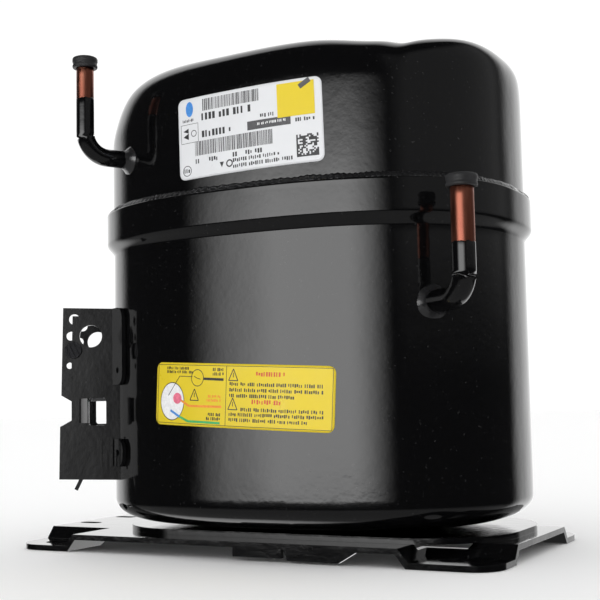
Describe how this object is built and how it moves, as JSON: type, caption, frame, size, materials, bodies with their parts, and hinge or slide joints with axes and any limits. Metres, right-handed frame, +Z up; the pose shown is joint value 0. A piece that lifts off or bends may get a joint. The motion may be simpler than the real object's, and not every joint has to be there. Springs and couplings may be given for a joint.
{
  "type": "hermetic reciprocating compressor",
  "caption": "Welded black steel compressor shell on a four-foot base plate, with stub tubes, terminal bracket, and a spring-hung motor and piston pump inside.",
  "frame": {"origin": "centre of the four mounting holes on the underside plane of the feet", "axes": "+Z up along the crank axis, +X towards the cylinder head and the lower stub tube, -Y the labelled front"},
  "size_m": [0.242, 0.192, 0.2277],
  "materials": {
    "black_paint": "gloss",
    "weld_paint": "semi-gloss over a rough bead",
    "copper_tube": "drawn copper, black paint on the lower length",
    "plug_rubber": "matte",
    "rating_sticker": "satin film",
    "warning_sticker": "satin film",
    "bracket_paint": "gloss",
    "zinc_screw": "blackened, knurled",
    "steel": "machined",
    "terminal_steel": "plated",
    "sealing_glass": "fused",
    "connector_plastic": "matte",
    "lead_sleeve": "matte",
    "spring_steel": "oiled",
    "lamination": "stacked edges",
    "winding_copper": "varnished",
    "liner_film": "matte",
    "aluminium": "cast",
    "cast_iron": "as cast, machined faces",
    "bearing_metal": "bored",
    "gasket": "fibre",
    "overload_case": "moulded",
    "muffler_plastic": "moulded"
  },
  "bodies": {
    "shell": {"base_plate": "black_paint", "lower_shell": "black_paint", "upper_shell": "black_paint", "weld_bead": "weld_paint", "process_tube": "copper_tube", "suction_tube": "copper_tube", "discharge_tube": "copper_tube", "process_tube_braze": "weld_paint", "suction_tube_braze": "weld_paint", "discharge_tube_braze": "weld_paint", "rating_label": "rating_sticker", "warning_label": "warning_sticker", "terminal_bracket": "bracket_paint", "bracket_screw": "zinc_screw", "terminal_body": "terminal_steel", "terminal_glass": "sealing_glass", "terminal_pins": "steel", "connector_block": "connector_plastic", "lead_wires": "lead_sleeve", "spring_studs": "steel", "shock_loop": "steel", "suspension_spring_1": "spring_steel", "suspension_spring_2": "spring_steel", "suspension_spring_3": "spring_steel", "suspension_spring_4": "spring_steel"},
    "pump_unit": {"stator_bolts": "steel", "stator_core": "lamination", "stator_windings": "winding_copper", "slot_liners": "liner_film", "overload_protector": "overload_case", "main_bearing": "bearing_metal", "thrust_washer": "steel", "crankcase": "cast_iron", "cylinder_gasket": "gasket", "valve_plate": "steel", "reed_stop": "steel", "head_gasket": "gasket", "cylinder_head": "cast_iron", "head_bolts": "steel", "suction_muffler": "muffler_plastic", "discharge_muffler": "steel", "suction_pipe": "muffler_plastic", "discharge_pipe": "steel"},
    "crankshaft": {"crankshaft": "steel", "counterweight": "cast_iron", "oil_pickup": "steel", "rotor_core": "lamination", "rotor_cage": "aluminium"},
    "piston": {"piston": "cast_iron", "wrist_pin": "steel"},
    "connecting_rod": {"connecting_rod": "aluminium", "crank_pin": "steel"},
    "suction_reed": {"suction_reed": "spring_steel"},
    "discharge_reed": {"discharge_reed": "spring_steel"},
    "process_plug": {"process_tube_plug": "plug_rubber"},
    "suction_plug": {"suction_tube_plug": "plug_rubber"},
    "discharge_plug": {"discharge_tube_plug": "plug_rubber"}
  },
  "joints": [
    {"name": "suspension_bounce", "type": "slide", "parent": "shell", "child": "pump_unit", "axis": [0, 0, 1], "range_m": [-0.0015, 0.0015], "stiffness_N_per_m": 26000, "springref_m": 0.0032, "deforming": ["suspension_spring_1", "suspension_spring_2", "suspension_spring_3", "suspension_spring_4", "shock_loop", "lead_wires"]},
    {"name": "crank_turn", "type": "hinge", "parent": "pump_unit", "child": "crankshaft", "pos_m": [0.004, 0, 0.13], "axis": [0, 0, 1], "continuous": true},
    {"name": "piston_stroke", "type": "slide", "parent": "pump_unit", "child": "piston", "axis": [1, 0, 0], "range_m": [0, 0.022]},
    {"name": "rod_swing", "type": "hinge", "parent": "piston", "child": "connecting_rod", "pos_m": [0.039, 0, 0.176], "axis": [0, 0, 1], "range_deg": [-13.8, 13.8]},
    {"name": "suction_reed_lift", "type": "hinge", "parent": "pump_unit", "child": "suction_reed", "pos_m": [0.0764, -0.0075, 0.1885], "axis": [0, 1, 0], "range_deg": [0, 2.5], "stiffness_Nm_per_rad": 0.02},
    {"name": "discharge_reed_lift", "type": "hinge", "parent": "pump_unit", "child": "discharge_reed", "pos_m": [0.0799, 0.0075, 0.1885], "axis": [0, -1, 0], "range_deg": [0, 5], "stiffness_Nm_per_rad": 0.02},
    {"name": "process_plug_pull", "type": "slide", "parent": "shell", "child": "process_plug", "axis": [0, 0, 1], "range_m": [0, 0.03]},
    {"name": "suction_plug_pull", "type": "slide", "parent": "shell", "child": "suction_plug", "axis": [0, 0, 1], "range_m": [0, 0.03]},
    {"name": "discharge_plug_pull", "type": "slide", "parent": "shell", "child": "discharge_plug", "axis": [0, 0, 1], "range_m": [0, 0.03]}
  ]
}
